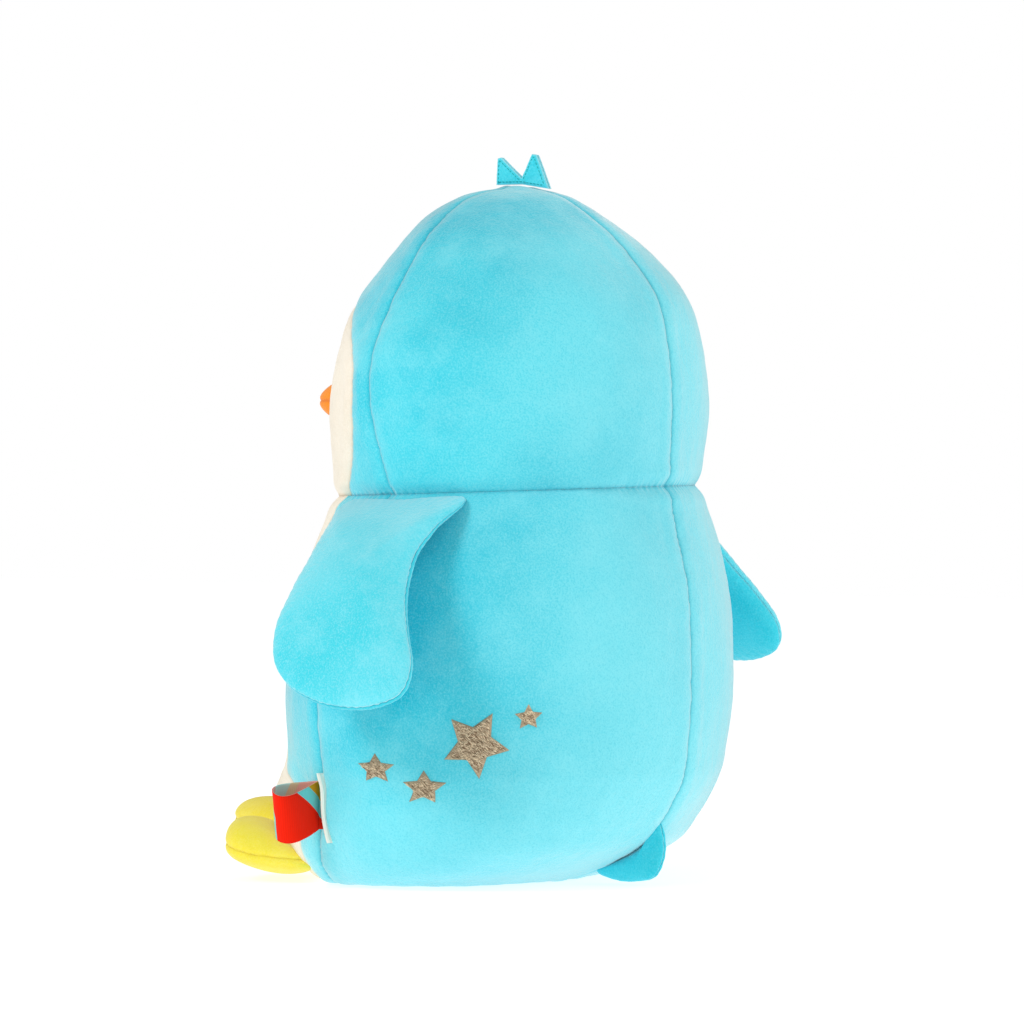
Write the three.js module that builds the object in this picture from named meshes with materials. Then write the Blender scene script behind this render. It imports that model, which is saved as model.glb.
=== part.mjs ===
// Plush penguin, about 300 mm tall, sitting upright. Millimetres, +Z up.
// It faces -Y and its left side is +X. The origin is on the underside of the base panel,
// under the middle of the body.
//
// The toy is sewn fabric around stuffing: each fabric panel is a thin curved shell and
// each stuffing is a closed core inside its panels, with a small clearance between them.

import * as THREE from "three";

const { cos, sin, abs, exp, hypot, max, min, sqrt, pow, PI } = Math;
const { lerp, degToRad, clamp } = THREE.MathUtils;

// ---------------------------------------------------------------- driving dimensions
const FABRIC = 1.2; // thickness of the plush fabric
const SEAM_GAP = 0.35; // clearance between the pieces on each side of a seam
const CORE_INSET = 4.0; // the stuffing starts this far inside the outer surface
const NECK_TILT = 0.035; // the neck seam rises this much per millimetre towards the back

// Cross-sections of the head and the body, from the bottom up: height, half-width,
// half-depth and how far the section's centre is shifted towards the back.
const HEAD_SECTIONS = [
  [163, 82, 73.5, 1.5],
  [180, 85.5, 75, 2],
  [200, 89, 75, 3],
  [222, 87.5, 72, 4],
  [243, 76, 66, 4.6],
  [262, 60, 53, 3.4],
  [276, 43, 39.5, 1],
  [286, 24, 24, 0],
  [291, 4, 4, -0.5],
];
const BODY_SECTIONS = [
  [0, 70, 47, -25],
  [2.5, 79, 56, -23],
  [8, 87, 67, -18.5],
  [16, 93, 77, -13.7],
  [25, 97, 80.5, -9.8],
  [33, 99.5, 82.5, -6.8],
  [42, 101, 84.5, -4],
  [50, 103, 86.5, -3.4],
  [75, 105.5, 89.3, -2.7],
  [96, 104.5, 89, -1.3],
  [117, 102, 85.5, 0.4],
  [134, 98, 81.5, 1.4],
  [148, 91, 77.5, 1.5],
  [163, 82, 73.5, 1.5],
];
// The lower belly bulges forwards between the side seams.
const BULGE = { depth: 15, height: 37, spread: 13.5, width: 1.6 };

// Seam lines as angles from the front (-Y) round to the left (+X), bottom to top.
const HEAD_SIDE_SEAM = [82, 73, 71, 68];
const BODY_SIDE_SEAM = [66, 68, 69, 80];
const FACE_EDGE = [57, 63, 65, 61, 41, 4];
const BELLY_EDGE = [53, 55, 54, 37, 42, 54];
const FACE_TOP = 0.6; // the face patch ends at this part of the head's sections

const BASE = { halfWidth: 69, halfDepth: 46, centreY: -25, thickness: 1.5 };

const WING = {
  root: [85, 4, 162.5],
  length: 107,
  halfThickness: 8.5,
  arch: 12, // how far the wing bows away from the body half-way down
  leftAngle: 36, // from hanging straight down, outwards
  rightAngle: 43,
  yaw: 4,
  rootPlumpness: 0.3, // how full the root is beside the middle
  fullFrom: 65, // the wing is full from this far down
  bendDepth: 45, // the bend of the root round the neck fades out this far down
  neckCurve: 0.0079, // how much the neck falls away, per millimetre squared from the root
};
// A wing's outline: across (towards the back) and down from the root.
const WING_OUTLINE = [
  [-35, 2], [-6, 2], [22, 2], [20, 20], [18, 36], [21, 58], [27, 76], [32, 90],
  [30, 101], [20, 106], [5, 107], [-10, 104], [-24, 97], [-34, 87], [-38, 73],
  [-36, 54], [-32, 36], [-33, 18],
];

const FOOT = {
  width: 56,
  halfThickness: 10.5,
  rootHeight: 9,
  heelPlumpness: 0.7, // how full the heel is beside the middle
  bendLength: 22, // the bend of the heel round the belly fades out this far forwards
};
// The belly's outline at the height of the heels, with room for the feet.
const HEEL_LINE = { halfWidth: 94, halfDepth: 79, centreY: -15.6 };
const FEET = {
  left: { heel: [48, -83.5], toe: [55, -106.6], lift: 10 },
  right: { heel: [-32, -95], toe: [-21, -154], lift: 14 },
};

const TAIL = { halfThickness: 4.2 };
// The tail's outline in the middle plane: distance back and height.
const TAIL_OUTLINE = [
  [72.5, 24], [73.5, 15], [71.5, 7], [67.5, 2.4], [60, 0.7], [51, 0.8], [41.5, 2.6],
  [51, 7.6], [59, 11.6], [66, 16.4],
];

const CREST = { thickness: 1.5, gap: 0.4, clearance: 0.8 };
// The crest's zigzag outline in the middle plane: distance back and height.
const CREST_OUTLINE = [
  [-8.5, 290.5], [-8.2, 301.6], [-6.6, 302], [4, 293.2], [9.4, 303.2], [11.4, 302.8],
  [17.2, 288.6], [4, 290.6],
];

const BEAK = {
  baseY: -71.9,
  length: 26,
  halfWidth: 15,
  halfHeight: 10,
  height: 200.5,
  fabric: 1,
  coreInset: 1.9,
};
const EYE = { angle: 24, height: 217, halfWidth: 4.6, halfHeight: 6.2 };

// Embroidered stars on the left hip: angle round the body, height, half-width and
// half-height to the tips, and turn.
const STARS = [
  [90.3, 51.1, 8.9, 6.4, 0],
  [104.6, 43.7, 9.2, 7.3, 0],
  [118.1, 61.9, 13.6, 14.4, -28],
  [131.2, 72.8, 5.9, 5.4, 2],
];
const STAR_POINTS = 5;
const STAR_NOTCH = 0.5; // the inner corners' distance from the middle beside the tips'
const EMBROIDERY = { thickness: 0.7, lift: 0.15 };

const RIBBON = {
  width: 20,
  reach: 24,
  halfGap: 5.2,
  thickness: 1,
  angle: 67,
  height: 34.5, // the middle of its sewn ends
  droop: 0.24, // how much it falls per millimetre that it stands out
};
const LABEL = { height: 29, reach: 2.4, thickness: 1.2, clearance: 1.6, angle: 70.5, centre: 33.5 };

// How finely the pieces are divided.
const HEAD_COLUMNS = 9;
const BODY_COLUMNS = 13;
const BACK_ROWS = 8;
const PATCH_ROWS = 9;
const EDGE_ROWS = 3;
const PILLOW_RINGS = 4;
const PILLOW_CORNERS = { wing: 22, foot: 20, tail: 15 };
const LOOP_CORNERS = 24;
const EYE_CORNERS = 12;

// ---------------------------------------------------------------- sections and surfaces
// A smooth value along a list of samples; u runs from 0 at the first to 1 at the last.
function smoothSample(samples, u) {
  const last = samples.length - 1;
  const place = clamp(u, 0, 1) * last;
  const i = min(Math.floor(place), last - 1);
  const t = place - i;
  const at = (k) => {
    if (k < 0) return 2 * samples[0] - samples[1];
    if (k > last) return 2 * samples[last] - samples[last - 1];
    return samples[k];
  };
  const [a, b, c, d] = [at(i - 1), at(i), at(i + 1), at(i + 2)];
  return 0.5 * (2 * b + (c - a) * t + (2 * a - 5 * b + 4 * c - d) * t * t
    + (3 * b - a - 3 * c + d) * t * t * t);
}

// The outer surface at height fraction u and angle t, as a function (u, t) -> Vector3.
function sectionSurface(sections, tiltAt, bulge) {
  const columns = [0, 1, 2, 3].map((k) => sections.map((row) => row[k]));
  return (u, t) => {
    const [z, a, b, back] = columns.map((column) => smoothSample(column, u));
    let y = back - b * cos(t);
    if (bulge && abs(t) < 1) {
      const nearness = exp(-pow((z - bulge.height) / bulge.spread, 2));
      y -= bulge.depth * nearness * max(0, cos(t * bulge.width));
    }
    return new THREE.Vector3(a * sin(t), y, z + NECK_TILT * tiltAt(u) * y);
  };
}

// The same surface moved inwards along its normal.
function insetSurface(surface, inset) {
  const step = 0.004;
  return (u, t) => {
    const low = clamp(u, step, 1 - step);
    const along = surface(low + step, t).sub(surface(low - step, t));
    const around = surface(low, t + step).sub(surface(low, t - step));
    const normal = around.cross(along).normalize();
    return surface(u, t).addScaledVector(normal, -inset);
  };
}

const headSurface = sectionSurface(HEAD_SECTIONS, (u) => (1 - u) * (1 - u), null);
const bodySurface = sectionSurface(BODY_SECTIONS, (u) => u * u, BULGE);

// The height fraction at which a surface passes a height, found by halving.
function fractionAtHeight(surface, height, t) {
  let [low, high] = [0, 1];
  for (let k = 0; k < 24; k += 1) {
    const middle = (low + high) / 2;
    if (surface(middle, t).z < height) low = middle;
    else high = middle;
  }
  return (low + high) / 2;
}

// ---------------------------------------------------------------- closed bodies
// A closed mesh from points and triangles, turned so that its faces point out.
function closedGeometry(points, triangles) {
  let volume = 0;
  for (const [a, b, c] of triangles) {
    volume += points[a].dot(points[b].clone().cross(points[c]));
  }
  const index = triangles.flatMap(([a, b, c]) => (volume < 0 ? [a, c, b] : [a, b, c]));
  const geometry = new THREE.BufferGeometry();
  const positions = new Float32Array(points.flatMap((p) => [p.x, p.y, p.z]));
  geometry.setAttribute("position", new THREE.BufferAttribute(positions, 3));
  geometry.setIndex(index);
  geometry.computeVertexNormals();
  return geometry;
}

function quad(triangles, a, b, c, d) {
  triangles.push([a, b, c], [a, c, d]);
}

// A patch of fabric between an outer and an inner surface, both (u, w) -> Vector3.
function patchShell(outer, inner, columns, rows) {
  const points = [];
  for (const layer of [outer, inner]) {
    for (let i = 0; i <= columns; i += 1) {
      for (let j = 0; j <= rows; j += 1) points.push(layer(i / columns, j / rows));
    }
  }
  const at = (layer, i, j) => layer * (columns + 1) * (rows + 1) + i * (rows + 1) + j;
  const triangles = [];
  for (let i = 0; i < columns; i += 1) {
    for (let j = 0; j < rows; j += 1) {
      quad(triangles, at(0, i, j), at(0, i + 1, j), at(0, i + 1, j + 1), at(0, i, j + 1));
      quad(triangles, at(1, i, j), at(1, i, j + 1), at(1, i + 1, j + 1), at(1, i + 1, j));
    }
  }
  for (let i = 0; i < columns; i += 1) {
    quad(triangles, at(0, i, 0), at(1, i, 0), at(1, i + 1, 0), at(0, i + 1, 0));
    quad(triangles, at(0, i, rows), at(0, i + 1, rows), at(1, i + 1, rows), at(1, i, rows));
  }
  for (let j = 0; j < rows; j += 1) {
    quad(triangles, at(0, 0, j), at(0, 0, j + 1), at(1, 0, j + 1), at(1, 0, j));
    quad(triangles, at(0, columns, j), at(1, columns, j), at(1, columns, j + 1),
      at(0, columns, j + 1));
  }
  return closedGeometry(points, triangles);
}

// A round piece between two surfaces given as (s, k) -> Vector3, where s runs from 0 at
// the middle to 1 at the edge and k counts the corners of the outline.
function discShell(outer, inner, rings, corners) {
  const points = [];
  for (const layer of [outer, inner]) {
    points.push(layer(0, 0));
    for (let i = 1; i <= rings; i += 1) {
      for (let k = 0; k < corners; k += 1) points.push(layer(i / rings, k));
    }
  }
  const stride = 1 + rings * corners;
  const at = (layer, i, k) => layer * stride + 1 + (i - 1) * corners + (k % corners);
  const triangles = [];
  for (let k = 0; k < corners; k += 1) {
    triangles.push([0, at(0, 1, k), at(0, 1, k + 1)]);
    triangles.push([stride, at(1, 1, k + 1), at(1, 1, k)]);
    for (let i = 1; i < rings; i += 1) {
      quad(triangles, at(0, i, k), at(0, i + 1, k), at(0, i + 1, k + 1), at(0, i, k + 1));
      quad(triangles, at(1, i, k), at(1, i, k + 1), at(1, i + 1, k + 1), at(1, i + 1, k));
    }
    quad(triangles, at(0, rings, k), at(1, rings, k), at(1, rings, k + 1),
      at(0, rings, k + 1));
  }
  return closedGeometry(points, triangles);
}

// A closed core with rings of points one above the other and flat ends.
function ringCore(ringPoint, levels, corners) {
  const points = [];
  for (let i = 0; i <= levels; i += 1) {
    for (let k = 0; k < corners; k += 1) {
      points.push(ringPoint(i / levels, (2 * PI * k) / corners - PI));
    }
  }
  const triangles = [];
  const at = (i, k) => i * corners + (k % corners);
  for (let i = 0; i < levels; i += 1) {
    for (let k = 0; k < corners; k += 1) {
      quad(triangles, at(i, k), at(i, k + 1), at(i + 1, k + 1), at(i + 1, k));
    }
  }
  for (const [level, flip] of [[0, true], [levels, false]]) {
    const ring = points.slice(level * corners, (level + 1) * corners);
    const middle = ring.reduce((sum, p) => sum.add(p), new THREE.Vector3());
    points.push(middle.divideScalar(corners));
    const centre = points.length - 1;
    for (let k = 0; k < corners; k += 1) {
      const [a, b] = flip ? [k + 1, k] : [k, k + 1];
      triangles.push([centre, at(level, a), at(level, b)]);
    }
  }
  return closedGeometry(points, triangles);
}

// ---------------------------------------------------------------- materials and meshes
const COLOURS = {
  plush_blue: 0x5fdced,
  plush_cream: 0xf8f3e8,
  plush_yellow: 0xf2e45a,
  plush_orange: 0xffad41,
  crest_teal: 0x3fd0e4,
  thread_gold: 0xb09a78,
  thread_dark: 0x2a2526,
  ribbon_red: 0xee260c,
  label_white: 0xf4f2ec,
  stuffing_white: 0xf3f1ec,
};
const materials = Object.fromEntries(Object.entries(COLOURS).map(([name, color]) => {
  const metalness = name === "thread_gold" ? 0.6 : 0;
  const roughness = name === "thread_gold" ? 0.4 : 0.95;
  return [name, new THREE.MeshStandardMaterial({ name, color, roughness, metalness })];
}));

const penguin = new THREE.Group();

function addPiece(name, geometry, material) {
  const mesh = new THREE.Mesh(geometry, materials[material]);
  mesh.name = name;
  penguin.add(mesh);
}

// ---------------------------------------------------------------- head and body
// A panel of the head or body between two seam angles, given at each height.
function seamPanel(surface, span, fromAngle, toAngle, columns, rows) {
  const inner = insetSurface(surface, FABRIC);
  const place = (layer) => (i, j) => {
    const u = lerp(span[0], span[1], i);
    const radius = max(6, hypot(...surface(u, fromAngle(u)).toArray().slice(0, 2)));
    const margin = SEAM_GAP / 2 / radius;
    return layer(u, lerp(fromAngle(u) + margin, toAngle(u) - margin, j));
  };
  return patchShell(place(surface), place(inner), columns, rows);
}

const angleLine = (degrees, side = 1) => (u) => side * degToRad(smoothSample(degrees, u));
const HEAD_SPAN = [0.004, 0.965];
const BODY_SPAN = [0.02, 0.996];
const CORE_SPAN = [0.06, 0.994]; // the body's filling starts above the base panel

// Half-angle of the face patch, closing to nothing over the forehead.
function faceEdge(u) {
  return degToRad(smoothSample(FACE_EDGE, clamp(u / FACE_TOP, 0, 1)));
}

// The heights at which both sides of the face seam have their corners, closer together
// towards the top; topShift moves the last one off the seam.
function faceRow(climb, topShift) {
  return lerp(HEAD_SPAN[0], FACE_TOP, sin((climb * PI) / 2)) + (climb === 1 ? topShift : 0);
}

const FACE_ROWS = 12;
const FACE_MARGIN = SEAM_GAP / 80; // half the seam gap as an angle, with some slack
const FACE_TOP_GAP = 0.012; // half the gap over the top of the patch, as a height fraction

// The blue border round the face: two cheeks that join over the forehead. It runs from
// the left end of the neck, over the crown and down to the right end of the neck.
function faceBorder() {
  const inner = insetSurface(headSurface, FABRIC);
  const borderPoint = (layer) => (i, j) => {
    const side = i < 0.5 ? 1 : -1;
    const climb = 1 - abs(2 * i - 1);
    const edgeU = faceRow(climb, FACE_TOP_GAP);
    const edgeT = climb === 1 ? 0 : faceEdge(edgeU) + FACE_MARGIN;
    const seamU = lerp(HEAD_SPAN[0], HEAD_SPAN[1], climb);
    const seamT = climb === 1 ? 0 : degToRad(smoothSample(HEAD_SIDE_SEAM, seamU)) - FACE_MARGIN;
    return layer(lerp(edgeU, seamU, j), side * lerp(edgeT, seamT, j));
  };
  return patchShell(borderPoint(headSurface), borderPoint(inner), 2 * FACE_ROWS, 6);
}

function facePatch() {
  const inner = insetSurface(headSurface, FABRIC);
  const patchPoint = (layer) => (i, j) => {
    const u = faceRow(i, -FACE_TOP_GAP);
    return layer(u, lerp(-1, 1, j) * (faceEdge(u) - FACE_MARGIN));
  };
  return patchShell(patchPoint(headSurface), patchPoint(inner), FACE_ROWS, PATCH_ROWS);
}

function addHead() {
  const core = insetSurface(headSurface, CORE_INSET);
  addPiece("head_stuffing", ringCore((v, t) => core(lerp(...HEAD_SPAN, v), t), HEAD_COLUMNS, 28),
    "stuffing_white");
  const side = angleLine(HEAD_SIDE_SEAM);
  const back = () => PI;
  addPiece("head_back_left_panel",
    seamPanel(headSurface, HEAD_SPAN, side, back, HEAD_COLUMNS, BACK_ROWS), "plush_blue");
  const mirrorBack = () => -PI;
  const mirrorSide = angleLine(HEAD_SIDE_SEAM, -1);
  addPiece("head_back_right_panel",
    seamPanel(headSurface, HEAD_SPAN, mirrorBack, mirrorSide, HEAD_COLUMNS, BACK_ROWS),
    "plush_blue");
  addPiece("face_border_panel", faceBorder(), "plush_blue");
  addPiece("face_patch", facePatch(), "plush_cream");
}

function addBody() {
  const core = insetSurface(bodySurface, CORE_INSET);
  addPiece("body_stuffing", ringCore((v, t) => core(lerp(...CORE_SPAN, v), t), 12, 30),
    "stuffing_white");
  const side = angleLine(BODY_SIDE_SEAM);
  const belly = angleLine(BELLY_EDGE);
  const mirrored = (line) => (u) => -line(u);
  const panels = [
    ["body_back_left_panel", side, () => PI, BACK_ROWS, "plush_blue"],
    ["body_back_right_panel", () => -PI, mirrored(side), BACK_ROWS, "plush_blue"],
    ["body_front_left_panel", belly, side, EDGE_ROWS, "plush_blue"],
    ["body_front_right_panel", mirrored(side), mirrored(belly), EDGE_ROWS, "plush_blue"],
    ["belly_patch", mirrored(belly), belly, PATCH_ROWS, "plush_cream"],
  ];
  for (const [name, from, to, rows, material] of panels) {
    addPiece(name, seamPanel(bodySurface, BODY_SPAN, from, to, BODY_COLUMNS, rows), material);
  }
}

function addBasePanel() {
  const outline = new THREE.Shape();
  outline.absellipse(0, BASE.centreY, BASE.halfWidth, BASE.halfDepth, 0, 2 * PI);
  const settings = { depth: BASE.thickness, bevelEnabled: false, curveSegments: 18 };
  addPiece("base_panel", new THREE.ExtrudeGeometry(outline, settings), "plush_blue");
}

// ---------------------------------------------------------------- pillows: wing, foot, tail
// A closed smooth outline through hand-set corners, sampled evenly.
function roundOutline(corners, samples) {
  const knots = corners.map(([x, y]) => new THREE.Vector3(x, y, 0));
  const curve = new THREE.CatmullRomCurve3(knots, true, "centripetal");
  return curve.getSpacedPoints(samples).slice(0, samples);
}

const CORE_SHRINK = 0.88; // the stuffing's outline beside the seam line
const CORE_CLEARANCE = 0.8; // between the stuffing and the fabric
const THINNEST_CORE = 0.2;

// Adds the two fabric sides and the stuffing of a flat pillow. The outline lies in the
// pillow's own plane, and place(x, y, h) puts a point h above that plane into the toy.
function addPillow(names, outline, halfThickness, material, place, thicknessAt = () => 1) {
  const centre = outline.reduce((sum, p) => sum.add(p), new THREE.Vector3());
  centre.divideScalar(outline.length);
  const seam = FABRIC + SEAM_GAP / 2;
  const crown = (s, p) => {
    const lift = (halfThickness * thicknessAt(p.x, p.y) - seam) * pow(1 - s * s, 0.55);
    return seam + max(0, lift);
  };
  // The rings of points crowd towards the edge, where the fabric curves most.
  const layer = (heightAt, shrink = 1) => (ring, k) => {
    const s = shrink * sin((ring * PI) / 2);
    const p = centre.clone().lerp(outline[k], s);
    return place(p.x, p.y, heightAt(s, p));
  };
  const [upper, lower, stuffing] = names;
  const shell = (sign) => discShell(
    layer((s, p) => sign * crown(s, p)),
    layer((s, p) => sign * (crown(s, p) - FABRIC)), PILLOW_RINGS, outline.length);
  addPiece(upper, shell(1), material);
  addPiece(lower, shell(-1), material);
  const inside = (sign) => layer(
    (s, p) => sign * max(THINNEST_CORE, crown(s, p) - FABRIC - CORE_CLEARANCE), CORE_SHRINK);
  addPiece(stuffing, discShell(inside(1), inside(-1), PILLOW_RINGS, outline.length),
    "stuffing_white");
}

// A wing hangs from the neck seam and stands out from the body. Its root follows the
// round neck, so the root is bent and the rest is flat.
function addWing(side) {
  const sign = side === "left" ? 1 : -1;
  const angle = degToRad(side === "left" ? WING.leftAngle : WING.rightAngle);
  const yaw = degToRad(WING.yaw);
  const out = new THREE.Vector3(cos(yaw), sin(yaw), 0);
  const across = new THREE.Vector3(-sin(yaw), cos(yaw), NECK_TILT);
  const down = out.clone().multiplyScalar(sin(angle)).add(new THREE.Vector3(0, 0, -cos(angle)));
  const normal = out.clone().multiplyScalar(cos(angle)).add(new THREE.Vector3(0, 0, sin(angle)));
  const root = new THREE.Vector3(...WING.root);
  const place = (x, y, h) => {
    const rootBend = pow(max(0, 1 - y / WING.bendDepth), 2);
    const bow = WING.arch * sin((PI * y) / WING.length);
    const point = root.clone().addScaledVector(across, x).addScaledVector(down, y);
    point.addScaledVector(normal, h + bow);
    point.addScaledVector(out, -WING.neckCurve * x * x * rootBend);
    point.x *= sign;
    return point;
  };
  const plump = (x, y) => lerp(WING.rootPlumpness, 1, sin((min(1, y / WING.fullFrom) * PI) / 2));
  const names = [`wing_${side}_outer_panel`, `wing_${side}_inner_panel`, `wing_${side}_stuffing`];
  const outline = roundOutline(WING_OUTLINE, PILLOW_CORNERS.wing);
  addPillow(names, outline, WING.halfThickness, "plush_blue", place, plump);
}

// A foot is a rounded pad sewn under the front of the belly, with its toe lifted.
function addFoot(side) {
  const { heel, toe, lift } = FEET[side];
  const start = new THREE.Vector3(heel[0], heel[1], FOOT.rootHeight);
  const forward = new THREE.Vector3(toe[0] - heel[0], toe[1] - heel[1], 0);
  const length = forward.length();
  forward.normalize();
  const across = new THREE.Vector3(-forward.y, forward.x, 0);
  const half = FOOT.width / 2;
  const corners = [
    [1, 0], [1, -0.75 * half], [length * 0.35, -0.95 * half], [length * 0.72, -0.88 * half],
    [length * 0.93, -0.5 * half], [length, 0], [length * 0.93, 0.5 * half],
    [length * 0.72, 0.88 * half], [length * 0.35, 0.95 * half], [1, 0.75 * half],
  ];
  const place = (x, y, h) => {
    const point = start.clone().addScaledVector(forward, x).addScaledVector(across, y);
    point.z += h + (lift * x) / length;
    // The sewn end of the foot follows the round belly.
    const bend = pow(max(0, 1 - x / FOOT.bendLength), 2);
    const straight = heel[1] + across.y * y;
    const round = HEEL_LINE.centreY
      - HEEL_LINE.halfDepth * sqrt(1 - pow(point.x / HEEL_LINE.halfWidth, 2));
    point.y += bend * (round - straight);
    return point;
  };
  const plump = (x) => lerp(FOOT.heelPlumpness, 1, sin(min(1, (2 * x) / length) * PI / 2));
  const names = [`foot_${side}_upper_panel`, `foot_${side}_sole_panel`, `foot_${side}_stuffing`];
  const outline = roundOutline(corners, PILLOW_CORNERS.foot);
  addPillow(names, outline, FOOT.halfThickness, "plush_yellow", place, plump);
}

// The tail is a small upright fin in the centre-back seam, under the rump.
function addTail() {
  const place = (x, y, h) => new THREE.Vector3(h, x, y);
  const names = ["tail_left_panel", "tail_right_panel", "tail_stuffing"];
  const outline = roundOutline(TAIL_OUTLINE, PILLOW_CORNERS.tail);
  addPillow(names, outline, TAIL.halfThickness, "plush_blue", place);
}

// ---------------------------------------------------------------- small pieces
// The crest is two layers of cut fabric standing in the centre seam of the crown.
function addCrest() {
  const outline = new THREE.Shape(CREST_OUTLINE.map(([y, z]) => new THREE.Vector2(y, z)));
  const settings = { depth: CREST.thickness, bevelEnabled: false };
  const layers = [
    ["crest_left_layer", CREST.gap / 2],
    ["crest_right_layer", -CREST.gap / 2 - CREST.thickness],
  ];
  // The outline is drawn in its own X and Y, which become Y and Z, and its depth runs along X.
  const upright = new THREE.Matrix4().makeBasis(
    new THREE.Vector3(0, 1, 0), new THREE.Vector3(0, 0, 1), new THREE.Vector3(1, 0, 0));
  for (const [name, offset] of layers) {
    const layer = new THREE.ExtrudeGeometry(outline, settings);
    layer.applyMatrix4(upright);
    layer.translate(offset, 0, CREST.clearance);
    addPiece(name, layer, "crest_teal");
  }
}

// The beak is an upper and a lower half cone round a stuffing, sewn to the face patch.
function addBeak() {
  const radiusAt = (u) => pow(1 - pow(u, 1.7), 0.62); // blunt in front, nearly a cone behind
  const thinnest = 0.4;
  const seamAngle = 0.02;
  const panelSpan = [0.04, 0.96];
  const coreSpan = [0.08, 0.86];
  const surface = (inset) => (u, angle) => {
    const width = max(thinnest, BEAK.halfWidth * radiusAt(u) - inset);
    const height = max(thinnest, BEAK.halfHeight * radiusAt(u) - inset);
    const y = BEAK.baseY - (BEAK.length - inset) * u;
    return new THREE.Vector3(width * cos(angle), y, BEAK.height + height * sin(angle));
  };
  for (const [name, sign] of [["beak_upper_panel", 1], ["beak_lower_panel", -1]]) {
    const place = (layer) => (i, j) => {
      const point = layer(lerp(...panelSpan, i), sign * lerp(seamAngle, PI - seamAngle, j));
      point.z += (sign * SEAM_GAP) / 2;
      return point;
    };
    addPiece(name, patchShell(place(surface(0)), place(surface(BEAK.fabric)), 5, 8),
      "plush_orange");
  }
  const core = surface(BEAK.coreInset);
  addPiece("beak_stuffing", ringCore((v, t) => core(lerp(...coreSpan, v), t), 4, 12),
    "stuffing_white");
}

// An embroidered motif on a surface: a thin raised disc with the given outline, whose
// corners are distances across and up from the middle.
function motif(surface, angle, height, outline) {
  const raised = insetSurface(surface, -EMBROIDERY.lift - EMBROIDERY.thickness);
  const resting = insetSurface(surface, -EMBROIDERY.lift);
  const middle = fractionAtHeight(surface, height, angle);
  const perRadian = surface(middle, angle + 0.5).distanceTo(surface(middle, angle - 0.5));
  const place = (layer) => (s, k) => {
    const [across, up] = outline[k % outline.length];
    const t = angle + (s * across) / perRadian;
    return layer(fractionAtHeight(surface, height + s * up, t), t);
  };
  return discShell(place(raised), place(resting), 2, outline.length);
}

function addEyes() {
  const oval = Array.from({ length: EYE_CORNERS }, (_, k) => {
    const turn = (2 * PI * k) / EYE_CORNERS;
    return [EYE.halfWidth * cos(turn), EYE.halfHeight * sin(turn)];
  });
  for (const [name, side] of [["eye_left", 1], ["eye_right", -1]]) {
    const eye = motif(headSurface, side * degToRad(EYE.angle), EYE.height, oval);
    addPiece(name, eye, "thread_dark");
  }
}

function addStars() {
  STARS.forEach(([angle, height, halfWidth, halfHeight, turn], n) => {
    const corners = 2 * STAR_POINTS;
    const outline = Array.from({ length: corners }, (_, k) => {
      const reach = k % 2 === 0 ? 1 : STAR_NOTCH;
      const direction = degToRad(90 + turn) + (2 * PI * k) / corners;
      return [halfWidth * reach * cos(direction), halfHeight * reach * sin(direction)];
    });
    const star = motif(bodySurface, degToRad(angle), height, outline);
    addPiece(`star_${n + 1}`, star, "thread_gold");
  });
}

// A local frame on the left side seam: out from the body, along the skin and upwards.
function seamFrame(angle, height) {
  const t = degToRad(angle);
  const u = fractionAtHeight(bodySurface, height, t);
  const outward = new THREE.Vector3(sin(t), -cos(t), 0);
  const along = new THREE.Vector3(cos(t), sin(t), 0);
  const up = new THREE.Vector3(0, 0, 1);
  const frame = new THREE.Matrix4().makeBasis(outward, along, up);
  frame.setPosition(bodySurface(u, t));
  return frame;
}

// The ribbon is a short tape folded into a loop, with its two ends in the side seam.
function addRibbonLoop() {
  const { reach, halfGap, thickness, width, droop } = RIBBON;
  // The outline runs anticlockwise, as does the hole in it.
  const loop = (inset) => [
    [1.2 + inset * 3, 0], [reach * 0.35, inset - halfGap * 0.75], [reach * 0.7, inset - halfGap],
    [reach * 0.93, inset * 0.7 - halfGap * 0.6], [reach - inset, 0],
    [reach * 0.93, halfGap * 0.6 - inset * 0.7], [reach * 0.7, halfGap - inset],
    [reach * 0.35, halfGap * 0.75 - inset],
  ];
  const flat = (corners) => roundOutline(corners, LOOP_CORNERS)
    .map((p) => new THREE.Vector2(p.x, p.y));
  const outline = new THREE.Shape(flat(loop(0)));
  outline.holes.push(new THREE.Path(flat(loop(thickness))));
  const tape = new THREE.ExtrudeGeometry(outline, { depth: width, bevelEnabled: false });
  tape.translate(0, 0, -width / 2);
  tape.applyMatrix4(new THREE.Matrix4().makeShear(0, -droop, 0, 0, 0, 0));
  tape.applyMatrix4(seamFrame(RIBBON.angle, RIBBON.height));
  addPiece("ribbon_loop", tape, "ribbon_red");
}

// The care label is a stiff folded tab that stands out of the same seam behind the ribbon.
function addCareLabel() {
  const tab = new THREE.BoxGeometry(LABEL.reach, LABEL.thickness, LABEL.height, 1, 1, 6);
  tab.translate(LABEL.reach / 2 + LABEL.clearance, 0, 0);
  tab.applyMatrix4(seamFrame(LABEL.angle, LABEL.centre));
  addPiece("care_label", tab, "label_white");
}

addHead();
addBody();
addBasePanel();
for (const side of ["left", "right"]) addWing(side);
for (const side of ["left", "right"]) addFoot(side);
addTail();
addCrest();
addBeak();
addEyes();
addStars();
addRibbonLoop();
addCareLabel();

export default penguin;
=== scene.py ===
import math

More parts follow.
